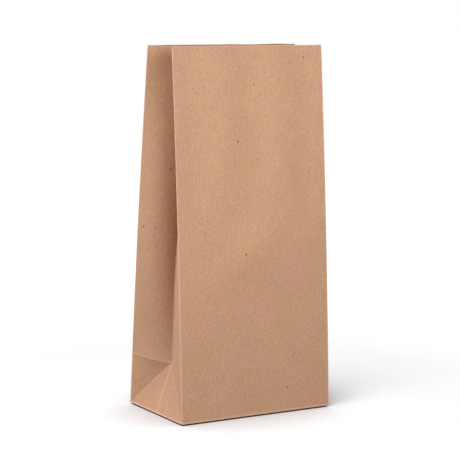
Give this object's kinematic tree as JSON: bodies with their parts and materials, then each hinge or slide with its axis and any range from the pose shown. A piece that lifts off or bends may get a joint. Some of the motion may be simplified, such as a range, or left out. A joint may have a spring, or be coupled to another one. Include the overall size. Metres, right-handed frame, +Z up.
{
  "type": "paper grocery bag",
  "caption": "Plain kraft paper grocery sack with gusseted sides, a folded block bottom and an open straight-cut mouth, standing upright.",
  "frame": {"origin": "middle of the base, on the surface that the bag stands on", "axes": "+Z up to the mouth, X across the front panel, -Y out of the front panel"},
  "size_m": [0.2182, 0.133, 0.4519],
  "materials": {
    "kraft_paper": "matte unbleached kraft"
  },
  "bodies": {
    "root": {"paper_bag": "kraft_paper"}
  },
  "joints": []
}
